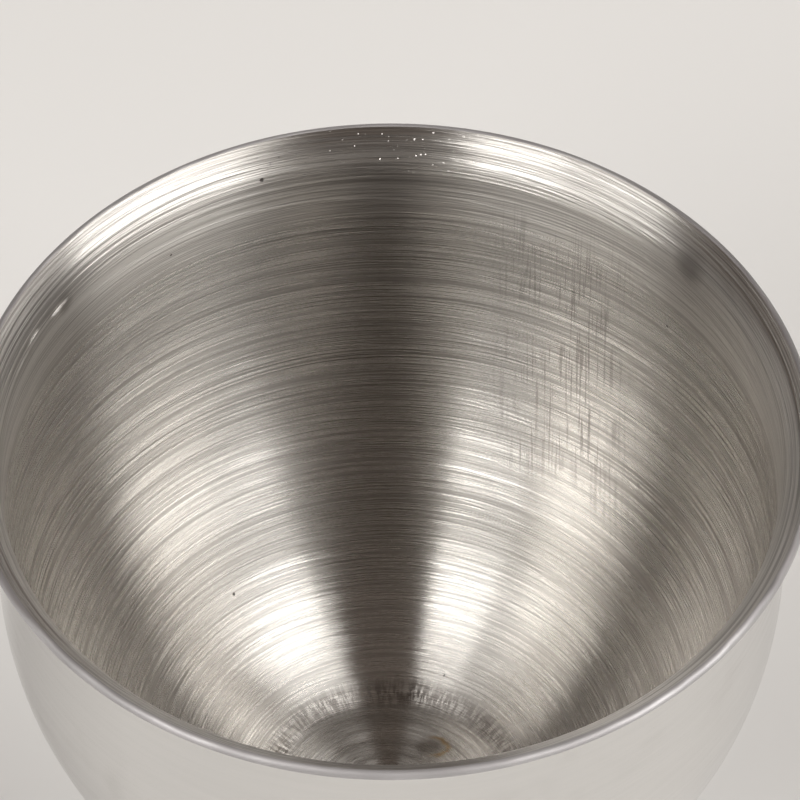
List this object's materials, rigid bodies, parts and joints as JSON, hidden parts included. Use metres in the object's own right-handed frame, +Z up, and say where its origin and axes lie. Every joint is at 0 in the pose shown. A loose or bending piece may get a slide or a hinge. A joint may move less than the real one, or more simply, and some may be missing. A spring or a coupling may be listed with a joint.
{
  "type": "egg cup",
  "caption": "Stainless egg cup: a deep drawn bowl with a flared lip, brushed inside and polished outside, welded to a hollow trumpet foot.",
  "frame": {"origin": "centre of the ring that the foot stands on, at the level of the table", "axes": "+Z up along the cup's axis; X and Y lie in the table and are alike, because the cup is the same all round"},
  "size_m": [0.05, 0.05, 0.064],
  "materials": {
    "bowl_steel": "turned and brushed round the axis inside, mirror polished outside",
    "foot_steel": "mirror polished outside, drawn matt inside",
    "weld_steel": "heat tinted"
  },
  "bodies": {
    "root": {"bowl": "bowl_steel", "foot": "foot_steel", "weld": "weld_steel"}
  },
  "joints": []
}
